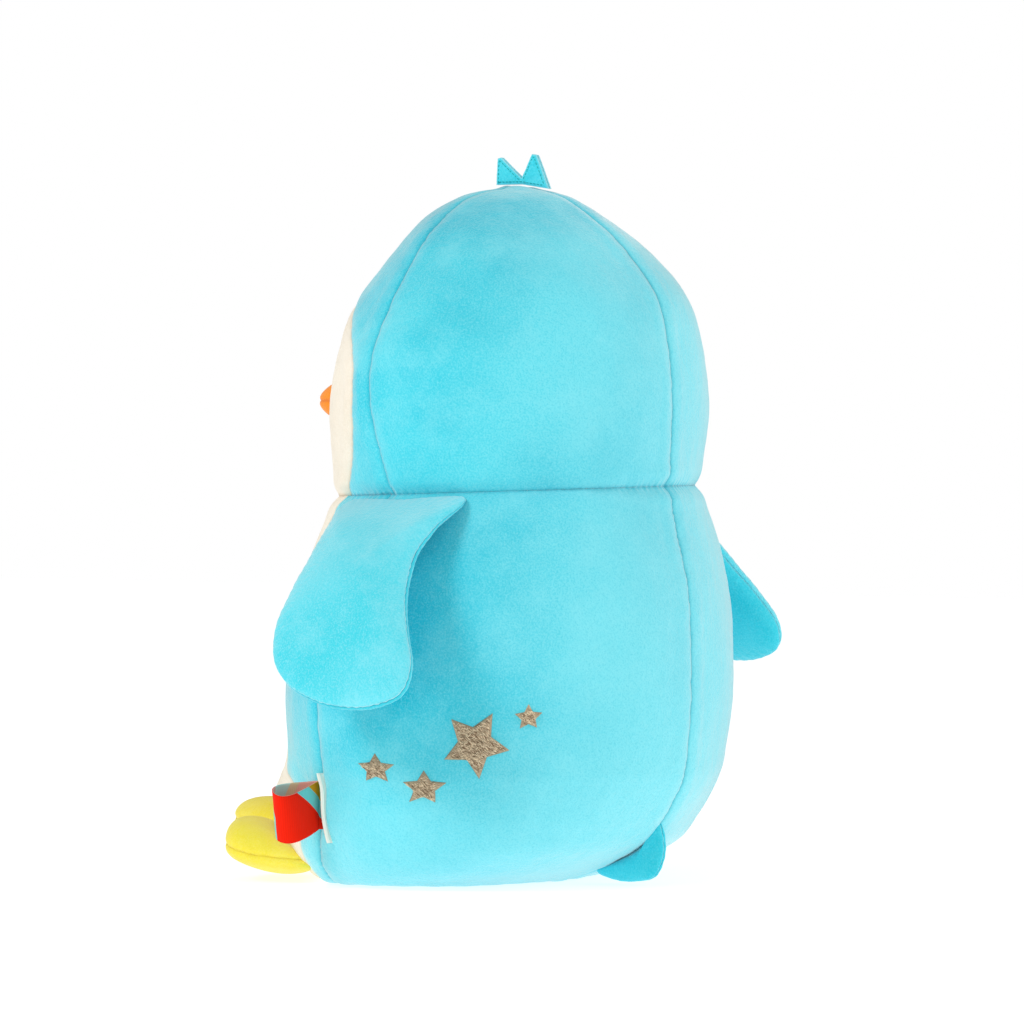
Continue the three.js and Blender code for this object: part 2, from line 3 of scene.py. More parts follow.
import bmesh
import bpy
import numpy as np
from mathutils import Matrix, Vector


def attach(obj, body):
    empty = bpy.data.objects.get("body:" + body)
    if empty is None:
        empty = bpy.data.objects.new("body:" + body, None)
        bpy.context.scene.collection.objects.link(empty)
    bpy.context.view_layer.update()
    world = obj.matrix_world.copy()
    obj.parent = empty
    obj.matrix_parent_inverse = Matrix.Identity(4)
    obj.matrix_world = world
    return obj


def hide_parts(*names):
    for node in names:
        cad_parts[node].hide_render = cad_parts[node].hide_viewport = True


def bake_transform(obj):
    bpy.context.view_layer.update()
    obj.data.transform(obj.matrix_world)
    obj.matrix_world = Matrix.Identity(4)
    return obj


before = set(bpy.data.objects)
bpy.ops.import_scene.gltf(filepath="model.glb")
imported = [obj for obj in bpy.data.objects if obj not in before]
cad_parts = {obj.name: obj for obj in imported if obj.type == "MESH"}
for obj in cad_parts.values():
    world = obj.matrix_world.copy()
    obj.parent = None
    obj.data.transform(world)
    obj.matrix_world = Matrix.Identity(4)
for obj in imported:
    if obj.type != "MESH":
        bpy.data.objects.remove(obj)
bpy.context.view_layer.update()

MM = 0.001
PI = math.pi

# ------------------------------------------------------------------ the toy's sections
# The same cross-sections as the CAD part: height, half-width, half-depth, shift backwards.
HEAD_SECTIONS = [
    (163, 82, 73.5, 1.5),
    (180, 85.5, 75, 2),
    (200, 89, 75, 3),
    (222, 87.5, 72, 4),
    (243, 76, 66, 4.6),
    (262, 60, 53, 3.4),
    (276, 43, 39.5, 1),
    (286, 24, 24, 0),
    (291, 0.4, 0.4, 2),
]
BODY_SECTIONS = [
    (0, 70, 47, -25),
    (2.5, 79, 56, -23),
    (8, 87, 67, -18.5),
    (16, 93, 77, -13.7),
    (25, 97, 80.5, -9.8),
    (33, 99.5, 82.5, -6.8),
    (42, 101, 84.5, -4),
    (50, 103, 86.5, -3.4),
    (75, 105.5, 89.3, -2.7),
    (96, 104.5, 89, -1.3),
    (117, 102, 85.5, 0.4),
    (134, 98, 81.5, 1.4),
    (148, 91, 77.5, 1.5),
    (163, 82, 73.5, 1.5),
]
NECK_HEIGHT = 163
NECK_TILT = 0.035  # the neck seam rises by this much per millimetre towards the back
BELLY_BULGE = {"depth": 15, "height": 37, "spread": 13.5, "width": 1.6}

# Seam lines as angles from the front towards the left, bottom to top.
HEAD_SIDE_SEAM = (82, 73, 71, 68)
BODY_SIDE_SEAM = (66, 68, 69, 80)
FACE_EDGE = (57, 63, 65, 61, 41, 4)
BELLY_EDGE = (53, 55, 54, 37, 42, 54)
FACE_TOP = 0.6


def catmull_rom(a, b, c, d, t):
    """The smooth curve from b to c, with a before and d after them."""
    cubic = (2 * a - 5 * b + 4 * c - d) * t**2 + (3 * b - a - 3 * c + d) * t**3
    return 0.5 * (2 * b + (c - a) * t + cubic)


def smooth_sample(samples, u):
    """Catmull-Rom values along evenly spaced samples; u runs from 0 to 1."""
    rows = np.asarray(samples, float)
    last = len(rows) - 1
    place = np.clip(np.asarray(u, float), 0, 1) * last
    i = np.minimum(place.astype(int), last - 1)
    t = place - i
    if rows.ndim == 2:
        t = t[..., None]
    padded = np.concatenate([[2 * rows[0] - rows[1]], rows, [2 * rows[-1] - rows[-2]]])
    return catmull_rom(*(padded[i + k] for k in range(4)), t)


def unit(v):
    return v / np.maximum(np.linalg.norm(v, axis=-1, keepdims=True), 1e-9)


def lengths_along(line):
    """The distance from the start of a line to each of its points."""
    steps = np.linalg.norm(np.diff(line, axis=0), axis=1)
    return np.concatenate([[0], np.cumsum(steps)])


def even_points(loop, count):
    """Evenly spaced points round a line that ends where it starts, and their distances."""
    lengths = lengths_along(loop)
    places = np.linspace(0, lengths[-1], count, endpoint=False)
    return np.stack([np.interp(places, lengths, axis) for axis in loop.T], 1), places


def ripple(points, size, seed, waves=10):
    """Smooth pseudo-random bumps of about the given size, from -1 to 1, at 3-D points."""
    rng = np.random.default_rng(seed)
    directions = unit(rng.normal(size=(waves, 3)))
    lengths = size * rng.uniform(0.7, 1.5, waves)
    phases = rng.uniform(0, 2 * PI, waves)
    total = np.zeros(points.shape[:-1])
    for direction, length, phase in zip(directions, lengths, phases):
        total += np.sin(points @ direction * (2 * PI / length) + phase)
    return total / math.sqrt(waves * 2)


class Skin:
    """The outer surface of the head or the body, by height fraction u and angle t."""

    def __init__(self, sections, tilt_at, bulge=None):
        self.sections, self.tilt_at, self.bulge = sections, tilt_at, bulge

    def at(self, u, t):
        u, t = np.broadcast_arrays(np.asarray(u, float), np.asarray(t, float))
        z, a, b, back = np.moveaxis(smooth_sample(self.sections, u), -1, 0)
        y = back - b * np.cos(t)
        if self.bulge:
            near = np.exp(-(((z - self.bulge["height"]) / self.bulge["spread"]) ** 2))
            swell = np.clip(np.cos(t * self.bulge["width"]), 0, 1) * (np.abs(t) < 1)
            y = y - self.bulge["depth"] * near * swell
        return np.stack([a * np.sin(t), y, z + NECK_TILT * self.tilt_at(u) * y], -1)

    def normal(self, u, t, step=0.004):
        low = np.clip(u, step, 1 - step)
        along = self.at(low + step, t) - self.at(low - step, t)
        around = self.at(low, t + step) - self.at(low, t - step)
        return unit(np.cross(around, along))


HEAD = Skin(HEAD_SECTIONS, lambda u: (1 - u) ** 2)
BODY = Skin(BODY_SECTIONS, lambda u: u**2, BELLY_BULGE)


def seam_angle(degrees):
    """A seam's angle as a function of the height fraction."""
    return lambda u: np.radians(smooth_sample(degrees, u))


head_side = seam_angle(HEAD_SIDE_SEAM)
body_side = seam_angle(BODY_SIDE_SEAM)
belly_side = seam_angle(BELLY_EDGE)


def face_side(u):
    return np.radians(smooth_sample(FACE_EDGE, np.clip(u / FACE_TOP, 0, 1)))


def back_line(u):
    """The centre-back seam."""
    return PI + 0 * u


def mirrored(line):
    """The same seam on the toy's right."""
    return lambda u: -line(u)


# ------------------------------------------------------------------ seams
# Each seam is a line of points on the skin with how deep and wide its groove is.
LINE = np.linspace(0, 1, 260)
RING = np.linspace(-PI, PI, 520)
FACE_LINE = FACE_TOP * np.sin(LINE * PI / 2)
SEAMS = {
    "neck": (HEAD.at(0, RING), 1.9, 2.4),
    "head_back": (HEAD.at(LINE, PI), 0.9, 1.2),
    "head_left": (HEAD.at(LINE, head_side(LINE)), 0.9, 1.2),
    "head_right": (HEAD.at(LINE, -head_side(LINE)), 0.9, 1.2),
    "face_left": (HEAD.at(FACE_LINE, face_side(FACE_LINE)), 0.8, 1.2),
    "face_right": (HEAD.at(FACE_LINE, -face_side(FACE_LINE)), 0.8, 1.2),
    "body_back": (BODY.at(LINE, PI), 0.9, 1.2),
    "body_left": (BODY.at(LINE, body_side(LINE)), 1.1, 1.4),
    "body_right": (BODY.at(LINE, -body_side(LINE)), 1.1, 1.4),
    "belly_left": (BODY.at(LINE, belly_side(LINE)), 0.8, 1.2),
    "belly_right": (BODY.at(LINE, -belly_side(LINE)), 0.8, 1.2),
    "base": (BODY.at(0, RING), 0.8, 1.2),
}
STITCH = 3.4  # millimetres from one stitch to the next
SEAM_REACH = 14  # a seam shapes the fabric no further than this
CHUNK = 20000  # points measured against a seam at one time


def seam_effect(points):
    """How far the seams pull each point inwards, and how close it is to one (0 to 1)."""
    flat = points.reshape(-1, 3)
    pull = np.zeros(len(flat))
    closeness = np.zeros(len(flat))
    for n, (line, depth, width) in enumerate(SEAMS.values()):
        lengths = lengths_along(line)
        low, high = line.min(0) - SEAM_REACH, line.max(0) + SEAM_REACH
        near = np.where(((flat > low) & (flat < high)).all(1))[0]
        for chunk in np.array_split(near, max(1, len(near) // CHUNK)):
            gap = ((flat[chunk, None, :] - line[None, :, :]) ** 2).sum(-1)
            nearest = gap.argmin(1)
            distance = np.sqrt(gap[np.arange(len(chunk)), nearest])
            along = lengths[nearest]
            pinch = 0.5 + 0.5 * np.cos(2 * PI * along / STITCH + n)
            groove = depth * np.exp(-((distance / width) ** 1.4)) * (0.8 + 0.3 * pinch)
            slow = np.sin(along / 5.3 + n) * np.sin(along / 3.1 + 2 * n)
            pucker = 0.22 * slow * np.exp(-((distance / 5.5) ** 2))
            shoulder = 0.35 * np.exp(-(((distance - 6) / 3.5) ** 2))
            pull[chunk] += groove + pucker - shoulder
            closeness[chunk] = np.maximum(closeness[chunk], np.exp(-((distance / 0.9) ** 2)))
    return pull.reshape(points.shape[:-1]), closeness.reshape(points.shape[:-1])


def plush_lumps(points):
    """The unevenness of a stuffed fabric surface, in millimetres."""
    return 0.9 * ripple(points, 75, 1) + 0.35 * ripple(points, 28, 2) + 0.1 * ripple(points, 9, 3)


# ------------------------------------------------------------------ meshes
def make_piece(name, points, faces, material, values):
    """A smooth-shaded object from millimetre points, with named values for each point."""
    mesh = bpy.data.meshes.new(name)
    mesh.from_pydata((np.asarray(points) * MM).tolist(), [], faces)
    for key, value in values.items():
        layer = mesh.attributes.new(key, "FLOAT", "POINT")
        layer.data.foreach_set("value", np.asarray(value, np.float32))
    work = bmesh.new()
    work.from_mesh(mesh)
    bmesh.ops.remove_doubles(work, verts=work.verts, dist=1e-6)
    bmesh.ops.dissolve_degenerate(work, edges=work.edges, dist=1e-7)
    bmesh.ops.recalc_face_normals(work, faces=work.faces)
    work.to_mesh(mesh)
    work.free()
    mesh.shade_smooth()
    piece = bpy.data.objects.new(name, mesh)
    bpy.context.scene.collection.objects.link(piece)
    piece.data.materials.append(material)
    return piece


def seam_values(closeness):
    """The seam attribute for a closed sheet, whose inner side counts as all seam."""
    return {"seam": np.concatenate([closeness.ravel(), np.ones(closeness.size)])}


def closed_grid(outer, inner):
    """Points and faces of a sheet with thickness, from two (rows, columns, 3) grids."""
    rows, columns, _ = outer.shape
    points = np.concatenate([outer.reshape(-1, 3), inner.reshape(-1, 3)])
    index = np.arange(rows * columns).reshape(rows, columns)
    under = index + rows * columns
    faces = []
    for layer, turn in ((index, 1), (under, -1)):
        corners = (layer[:-1, :-1], layer[1:, :-1], layer[1:, 1:], layer[:-1, 1:])
        faces.append(np.stack([c.ravel() for c in corners[::turn]], 1))
    for top, low in (
        (index[0], under[0]),
        (index[-1][::-1], under[-1][::-1]),
        (index[:, 0][::-1], under[:, 0][::-1]),
        (index[:, -1], under[:, -1]),
    ):
        faces.append(np.stack([top[:-1], low[:-1], low[1:], top[1:]], 1))
    return points, np.concatenate(faces).tolist()


def edge_crowded(count):
    """Values from 0 to 1, closer together near both ends."""
    even = np.linspace(0, 1, count)
    return even - 0.11 * np.sin(2 * PI * even)


FABRIC = 1.6  # thickness of the plush with its pile


def dressed(skin, u, t):
    """The stuffed, sewn surface: its points, its outward directions and the seams' closeness.
    At the neck both panels are pulled straight inwards, so that they stay together."""
    base = skin.at(u, t)
    normal = skin.normal(u, t)
    from_neck = base[..., 2] - NECK_HEIGHT - NECK_TILT * base[..., 1]
    normal[..., 2] *= 1 - np.exp(-((from_neck / 4) ** 2))
    normal = unit(normal)
    pull, closeness = seam_effect(base)
    settled = np.clip(base[..., 2] / 14, 0, 1)
    return base + normal * (plush_lumps(base) * settled - pull)[..., None], normal, closeness


def skin_panel(name, skin, u, t, material, slot):
    """A fabric panel over the skin at the grid of u and t, with its seams sewn in."""
    outer, normal, closeness = dressed(skin, u, t)
    points, faces = closed_grid(outer, outer - normal * FABRIC)
    piece = make_piece(name, points, faces, material, seam_values(closeness))
    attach(piece, "torso")
    return piece


def gore(from_angle, to_angle, rows, columns):
    """The u and t grids of a panel between two seam angles."""
    u = edge_crowded(rows)[:, None]
    w = edge_crowded(columns)[None, :]
    low, high = from_angle(u), to_angle(u)
    return np.broadcast_to(u, (rows, columns)), low + (high - low) * w


# ------------------------------------------------------------------ materials
def linear(red, green, blue):
    """An sRGB colour from 0 to 255 as linear values with alpha."""
    values = []
    for channel in (red, green, blue):
        c = channel / 255
        values.append(c / 12.92 if c <= 0.04045 else ((c + 0.055) / 1.055) ** 2.4)
    return (*values, 1)


def settle(node, values):
    """Sets a node's inputs by name."""
    for name, value in values.items():
        node.inputs[name].default_value = value


class Nodes:
    """A material's node tree, with short ways to add and join nodes."""

    def __init__(self, name):
        self.material = bpy.data.materials.new(name)
        self.material.use_nodes = True
        self.tree = self.material.node_tree
        self.shader = self.tree.nodes["Principled BSDF"]

    def add(self, kind, **settings):
        node = self.tree.nodes.new(kind)
        for key, value in settings.items():
            setattr(node, key, value)
        return node

    def join(self, source, target):
        self.tree.links.new(source, target)

    def coordinates(self):
        return self.add("ShaderNodeTexCoord").outputs["Object"]

    def noise(self, scale, detail=2.0, roughness=0.5):
        node = self.add("ShaderNodeTexNoise")
        settle(node, {"Scale": scale, "Detail": detail, "Roughness": roughness})
        self.join(self.coordinates(), node.inputs["Vector"])
        return node.outputs["Fac"]

    def spread(self, value, low, high, to_low=0.0, to_high=1.0):
        node = self.add("ShaderNodeMapRange")
        settle(node, {"From Min": low, "From Max": high, "To Min": to_low, "To Max": to_high})
        self.join(value, node.inputs["Value"])
        return node.outputs["Result"]

    def mix(self, factor, a, b):
        node = self.add("ShaderNodeMix", data_type="RGBA")
        self.join(factor, node.inputs["Factor"])
        for value, name in ((a, "A"), (b, "B")):
            socket = next(s for s in node.inputs if s.name == name and s.type == "RGBA")
            if isinstance(value, tuple):
                socket.default_value = value
            else:
                self.join(value, socket)
        return next(s for s in node.outputs if s.type == "RGBA")

    def bump(self, height, strength, distance, under=None):
        node = self.add("ShaderNodeBump")
        settle(node, {"Strength": strength, "Distance": distance})
        self.join(height, node.inputs["Height"])
        if under is not None:
            self.join(under, node.inputs["Normal"])
        return node.outputs["Normal"]

    def attribute(self, name):
        return self.add("ShaderNodeAttribute", attribute_name=name).outputs["Fac"]

    def surface(self, colour, normal, values):
        """The material, with its colour and its bumps joined and its other values set."""
        self.join(colour, self.shader.inputs["Base Color"])
        self.join(normal, self.shader.inputs["Normal"])
        settle(self.shader, values)
        return self.material


def plush_material(name, deep, middle, light, seam, sheen=0.6, tint=(1, 1, 1, 1), painted_light_fade=0.0):
    """Short-pile plush: brushed patches, a fine grain of tufts and a soft sheen. Painted light
    makes the colour paler low on the toy and at its back."""
    nodes = Nodes(name)
    deep, middle, light, seam = (linear(*colour) for colour in (deep, middle, light, seam))
    brushed = nodes.spread(nodes.noise(15, 2.0, 0.5), 0.38, 0.62, 0.0, 1.0)
    colour = nodes.mix(brushed, deep, middle)
    patches = nodes.spread(nodes.noise(48, 3.0, 0.6), 0.45, 0.7, 0.0, 0.36)
    colour = nodes.mix(patches, colour, light)
    # Painted light: paler towards the bottom, standing in for the floor's bounce light, and
    # towards the back, standing in for the side light.
    if painted_light_fade:
        place = nodes.add("ShaderNodeSeparateXYZ")
        nodes.join(nodes.coordinates(), place.inputs[0])
        for axis, start, full in (("Z", 0.075, 0.01), ("Y", 0.01, 0.085)):
            fade = nodes.spread(place.outputs[axis], start, full, 0.0, painted_light_fade)
            colour = nodes.mix(fade, colour, light)
    tufts = nodes.noise(1300, 2.0, 0.7)
    colour = nodes.mix(nodes.spread(tufts, 0.45, 0.75, 0.0, 0.5), colour, light)
    colour = nodes.mix(nodes.spread(tufts, 0.5, 0.25, 0.0, 0.4), colour, deep)
    # Painted shade: the colour turns towards the seam colour in the seams' grooves and on the
    # sheets' inner sides. The blue, cream, yellow and orange seam colours are darker tones for
    # this, while the crest's pale seam colour is its own pale cut edge.
    shade = nodes.spread(nodes.attribute("seam"), 0.1, 1.0, 0.0, 0.4)
    colour = nodes.mix(shade, colour, seam)
    clumps = nodes.bump(nodes.noise(420, 3.0, 0.6), 0.5, 0.0006)
    grain = nodes.bump(tufts, 0.55, 0.0004, clumps)
    return nodes.surface(colour, grain, {
        "Roughness": 0.95, "Specular IOR Level": 0.12, "Sheen Weight": sheen,
        "Sheen Roughness": 0.45, "Sheen Tint": tint,
    })


# The body's blue carries painted light: paler low on the toy and towards its back.
BLUE = plush_material(
    "blue_plush", (8, 196, 218), (78, 218, 234), (140, 232, 242), seam=(8, 160, 184),
    sheen=0.85, tint=(1, 0.98, 0.96, 1), painted_light_fade=0.62,
)
# Shaded and lit copies of the body's blue: painted shade for the wings' inner sides and the tail,
# painted light for the wings' outer sides.
SHADED_BLUE = plush_material(
    "blue_plush_painted_shade", (34, 204, 224), (62, 214, 232), (108, 228, 242), seam=(8, 160, 184),
)
LIT_BLUE = plush_material(
    "blue_plush_painted_light", (60, 214, 230), (110, 226, 240), (160, 236, 246), seam=(20, 180, 200),
    sheen=0.9,
)
CREAM = plush_material(
    "cream_plush", (236, 224, 204), (243, 234, 216), (250, 243, 230), seam=(208, 190, 164),
    sheen=0.3,
)
YELLOW = plush_material(
    "yellow_plush", (240, 220, 50), (248, 230, 72), (252, 238, 120), seam=(244, 224, 66),
    sheen=0.4, tint=(1, 0.97, 0.75, 1),
)
ORANGE = plush_material(
    "orange_plush", (244, 130, 10), (253, 144, 20), (255, 162, 46), seam=(200, 104, 20),
    sheen=0.35, tint=(1, 0.9, 0.7, 1),
)
CREST_BLUE = plush_material(
    "crest_blue", (52, 212, 230), (84, 224, 240), (118, 232, 246), seam=(196, 238, 244),
    tint=(0.8, 0.97, 1, 1),
)


def thread_material(name, dark, light, metallic, roughness):
    """Embroidery thread: each thread has its own random tone, whose light end is a painted glint
    on the gold thread, with fine twisted strands and painted shade between them.
    """
    nodes = Nodes(name)
    tone = nodes.attribute("tone")
    # Random tone per thread; on the gold thread its light end paints glints.
    colour = nodes.mix(nodes.spread(tone, 0.0, 0.75), dark, light)
    strands = nodes.noise(2600, 2.0, 0.6)
    # Painted shade: darker towards the dark tone between the strands.
    colour = nodes.mix(nodes.spread(strands, 0.3, 0.62, 0.55, 0.0), colour, dark)
    twist = nodes.bump(strands, 0.4, 0.0002)
    return nodes.surface(colour, twist, {"Metallic": metallic, "Roughness": roughness})


GOLD = thread_material("gold_thread", linear(120, 92, 64), linear(252, 232, 198), 0.5, 0.42)
DARK = thread_material("dark_thread", linear(16, 14, 15), linear(58, 52, 54), 0.0, 0.5)
TEAL_THREAD = thread_material("teal_thread", linear(0, 176, 176), linear(40, 206, 200), 0.0, 0.6)


def weave(nodes, rib, pick):
    """The height of a woven tape: ribs along it crossed by fine threads."""
    both = nodes.add("ShaderNodeMath", operation="ADD")
    for name, pitch, target in zip(("across", "run"), (pick, rib), both.inputs):
        turns = nodes.add("ShaderNodeMath", operation="MULTIPLY")
        nodes.join(nodes.attribute(name), turns.inputs[0])
        turns.inputs[1].default_value = 2 * PI / pitch
        wave = nodes.add("ShaderNodeMath", operation="SINE")
        nodes.join(turns.outputs[0], wave.inputs[0])
        nodes.join(wave.outputs[0], target)
    return both.outputs[0]


RED, TEAL, OCHRE = linear(252, 34, 4), linear(118, 212, 208), linear(222, 156, 26)


def ribbon_material():
    """A woven ribbon with diagonal stripes, paler on its reverse."""
    nodes = Nodes("woven_ribbon")
    # Where each stripe ends across the ribbon's diagonal, and its colour.
    stripes = [
        (-78, OCHRE), (-72, TEAL), (-64, RED), (-60, OCHRE), (-53, TEAL), (-4.2, RED),
        (2.4, TEAL), (20, OCHRE),
    ]
    ramp = nodes.add("ShaderNodeValToRGB")
    ramp.color_ramp.interpolation = "CONSTANT"
    low, high = -90.0, 20.0
    elements = ramp.color_ramp.elements
    elements.remove(elements[1])
    elements[0].position = 0.0
    elements[0].color = stripes[0][1]
    for (edge, _), (_, colour) in zip(stripes, stripes[1:]):
        elements.new((edge - low) / (high - low)).color = colour
    nodes.join(nodes.spread(nodes.attribute("stripe"), low, high), ramp.inputs["Fac"])
    height = weave(nodes, 0.9, 0.5)
    # Painted shade: the weave's hollows are darkened towards a dark red.
    hollow_shade = nodes.spread(height, -2.0, 2.0, 0.16, 0.0)
    colour = nodes.mix(hollow_shade, ramp.outputs["Color"], linear(120, 20, 10))
    pale = nodes.spread(nodes.attribute("reverse"), 0.4, 0.6, 0.0, 0.5)
    colour = nodes.mix(pale, colour, linear(255, 232, 214))
    ribs = nodes.bump(height, 0.25, 0.0001)
    return nodes.surface(colour, ribs, {"Roughness": 0.7, "Specular IOR Level": 0.08})


WOVEN = ribbon_material()


def satin_material():
    """The pale satin of the folded label."""
    nodes = Nodes("white_satin")
    height = weave(nodes, 0.6, 0.35)
    # Painted shade: the weave's hollows are darkened towards a deeper cream.
    hollow_shade = nodes.spread(height, -2.0, 2.0, 0.3, 0.0)
    colour = nodes.mix(hollow_shade, linear(253, 250, 238), linear(224, 216, 194))
    ribs = nodes.bump(height, 0.2, 0.0001)
    return nodes.surface(colour, ribs, {"Roughness": 0.4, "Sheen Weight": 0.2})


SATIN = satin_material()


# ------------------------------------------------------------------ head and body
def build_head():
    left = gore(head_side, back_line, 118, 150)
    right = gore(mirrored(back_line), mirrored(head_side), 118, 150)
    piece = skin_panel("head_back_left", HEAD, *left, BLUE, "blue_plush")
    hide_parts("head_back_left_panel", "head_stuffing")
    piece = skin_panel("head_back_right", HEAD, *right, BLUE, "blue_plush")
    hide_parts("head_back_right_panel")
    build_face()


def build_face():
    """The blue border and the cream patch, which meet along the face seam."""
    # From the neck on the left, over the top of the face, to the neck on the right.
    way = np.linspace(-1, 1, 241)[:, None]
    climb = 1 - np.abs(way)
    side = np.where(way < 0, 1.0, -1.0)
    edge_u = FACE_TOP * np.sin(climb * PI / 2)
    edge_t = face_side(edge_u) * (climb < 1)
    seam_t = head_side(climb) * (climb < 1)
    across = edge_crowded(56)[None, :]
    u = edge_u + (climb - edge_u) * across
    t = side * (edge_t + (seam_t - edge_t) * across)
    piece = skin_panel("face_border", HEAD, u, t, BLUE, "blue_plush")
    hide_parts("face_border_panel")
    rows = np.sin(np.linspace(0, 1, 90) * PI / 2)[:, None] * FACE_TOP
    columns = (2 * edge_crowded(150) - 1)[None, :]
    u = np.broadcast_to(rows, (90, 150))
    piece = skin_panel("face_patch_front", HEAD, u, columns * face_side(u), CREAM, "cream_plush")
    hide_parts("face_patch")


def build_body():
    right_side, right_belly = mirrored(body_side), mirrored(belly_side)
    panels = [
        ("body_back_left", body_side, back_line, 180, BLUE, "blue_plush"),
        ("body_back_right", mirrored(back_line), right_side, 180, BLUE, "blue_plush"),
        ("body_front_left", belly_side, body_side, 60, BLUE, "blue_plush"),
        ("body_front_right", right_side, right_belly, 60, BLUE, "blue_plush"),
        ("belly_front", right_belly, belly_side, 130, CREAM, "cream_plush"),
    ]
    for name, low, high, columns, material, slot in panels:
        grid = gore(low, high, 190, columns)
        piece = skin_panel(name, BODY, *grid, material, slot)
        node = "belly_patch" if name == "belly_front" else f"{name}_panel"
        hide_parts(node)
        if name == "body_back_left":
            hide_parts("body_stuffing")


# ------------------------------------------------------------------ pillows
def closed_outline(corners, count):
    """A smooth closed line through the corners, with evenly spaced points."""
    knots = np.asarray(corners, float)
    fine = []
    for k in range(len(knots)):
        around = (knots[(k + j - 1) % len(knots)] for j in range(4))
        t = np.linspace(0, 1, 40, endpoint=False)[:, None]
        fine.append(catmull_rom(*around, t))
    fine = np.concatenate(fine)
    return even_points(np.concatenate([fine, fine[:1]]), count)


def closed_disc(outer, inner):
    """Points and faces of a round sheet with thickness from (rings, corners, 3) grids
    whose first ring is one point."""
    rings, corners, _ = outer.shape
    points = np.concatenate([outer.reshape(-1, 3), inner.reshape(-1, 3)])
    index = np.arange(rings * corners).reshape(rings, corners)
    under = index + rings * corners
    faces = []
    for layer, turn in ((index, 1), (under, -1)):
        follow = np.roll(layer, -1, axis=1)
        cells = (layer[:-1], layer[1:], follow[1:], follow[:-1])
        faces.append(np.stack([c.ravel() for c in cells[::turn]], 1))
    rim, low = index[-1], under[-1]
    faces.append(np.stack([rim, low, np.roll(low, -1), np.roll(rim, -1)], 1))
    return points, np.concatenate(faces).tolist()


def pillow_side(
    name, corners, half, place, sign, material, detail, seed, plump=None, shift=None
):
    """One fabric side of a flat pillow, from its middle to the seam round its edge."""
    rings, count = detail
    outline, along = closed_outline(corners, count)
    centre = outline.mean(0)
    turn = np.linspace(0, PI / 2, rings)[:, None]
    reach = np.sin(turn)[..., None]
    flat = centre + (outline - centre)[None] * reach
    x, y = flat[..., 0], flat[..., 1]
    crown = half * np.cos(turn) ** 0.8 * (plump(x, y) if plump else np.ones_like(x))
    here = np.stack([x, y, sign * crown], -1)
    ripples = np.sin(along * 2 * PI / 7.3 + seed) * np.sin(along * 2 * PI / 11.9)
    edge_pucker = 0.35 * ripples * np.sin(turn) ** 10 * np.cos(turn) ** 0.5 * 2
    crown = crown + (0.5 * ripple(here, 34, seed) * np.cos(turn) ** 0.7 + edge_pucker)
    crown = np.maximum(crown, 0) * (turn < PI / 2 - 1e-6)
    stitches = 0.5 + 0.5 * np.cos(2 * PI * along / STITCH)
    groove = (0.6 + 0.3 * stitches + 0.2 * ripples) * np.exp(-((crown / 0.9) ** 2))
    outward = unit(outline - centre)[None]
    sewn = flat - outward * groove[..., None]
    level = shift(x, y) * np.sin(turn) ** 4 if shift else np.zeros_like(x)
    outer = place(sewn[..., 0], sewn[..., 1], level + sign * crown)
    deeper = flat - outward * (groove + FABRIC * np.sin(turn) ** 4)[..., None]
    inner = place(deeper[..., 0], deeper[..., 1], level + sign * np.maximum(crown - FABRIC, 0))
    points, faces = closed_disc(outer, inner)
    closeness = np.exp(-((crown / 0.4) ** 2)) * (np.sin(turn) > 0.9)
    piece = make_piece(name, points, faces, material, seam_values(closeness))
    return piece


def sew_on(piece):
    """Bakes the piece's placement into its mesh."""
    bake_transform(piece)


# ------------------------------------------------------------------ wings
WING = {
    "root": (85, 4, 162.5), "length": 107, "half": 8.5, "arch": 12, "yaw": 4,
    "curve": 0.0079, "curve_depth": 45, "tuck": 4, "tuck_depth": 26,
    "root_fill": 0.3, "full_from": 65, "shift": 3.4, "shift_from": 55, "shift_full": 100,
}
# How far each wing stands out from straight down, in degrees, and the wing's flat shape.
WING_ANGLES = {"left": 36, "right": 43}
WING_OUTLINE = [
    (-35, 2), (-6, 2), (22, 2), (20, 20), (18, 36), (21, 58), (27, 76), (32, 90),
    (30, 101), (20, 106), (5, 107), (-10, 104), (-24, 97), (-32, 87), (-34.5, 73),
    (-32.5, 54), (-30.5, 36), (-32, 18),
]


def wing_place(side):
    """The map from a wing's own plane into the toy, and its root and downward direction."""
    angle = math.radians(WING_ANGLES[side])
    yaw = math.radians(WING["yaw"])
    out = np.array([math.cos(yaw), math.sin(yaw), 0])
    across = np.array([-math.sin(yaw), math.cos(yaw), NECK_TILT])
    up = np.array([0, 0, 1])
    down = out * math.sin(angle) - up * math.cos(angle)
    normal = out * math.cos(angle) + up * math.sin(angle)
    mirror = np.array([1 if side == "left" else -1, 1, 1])
    root = np.array(WING["root"], float)

    def place(x, y, h):
        bend = np.clip(1 - y / WING["curve_depth"], 0, None) ** 2
        bow = WING["arch"] * np.sin(PI * y / WING["length"])
        tuck = WING["tuck"] * np.clip(1 - y / WING["tuck_depth"], 0, 1) ** 2
        point = root + across * x[..., None] + down * y[..., None] + normal * (h + bow)[..., None]
        point = point - out * (WING["curve"] * x * x * bend + tuck)[..., None]
        return point * mirror

    return place, root * mirror, down * mirror


def wing_plump(x, y):
    """How full the wing is: flat at its root, and full from WING["full_from"] down."""
    rise = np.sin(np.clip(y / WING["full_from"], 0, 1) * PI / 2)
    return WING["root_fill"] + (1 - WING["root_fill"]) * rise


def wing_seam_shift(x, y):
    """How far the seam lies towards the outer face, which it does round the wing's tip."""
    low, high = WING["shift_from"], WING["shift_full"]
    return WING["shift"] * np.clip((y - low) / (high - low), 0, 1)


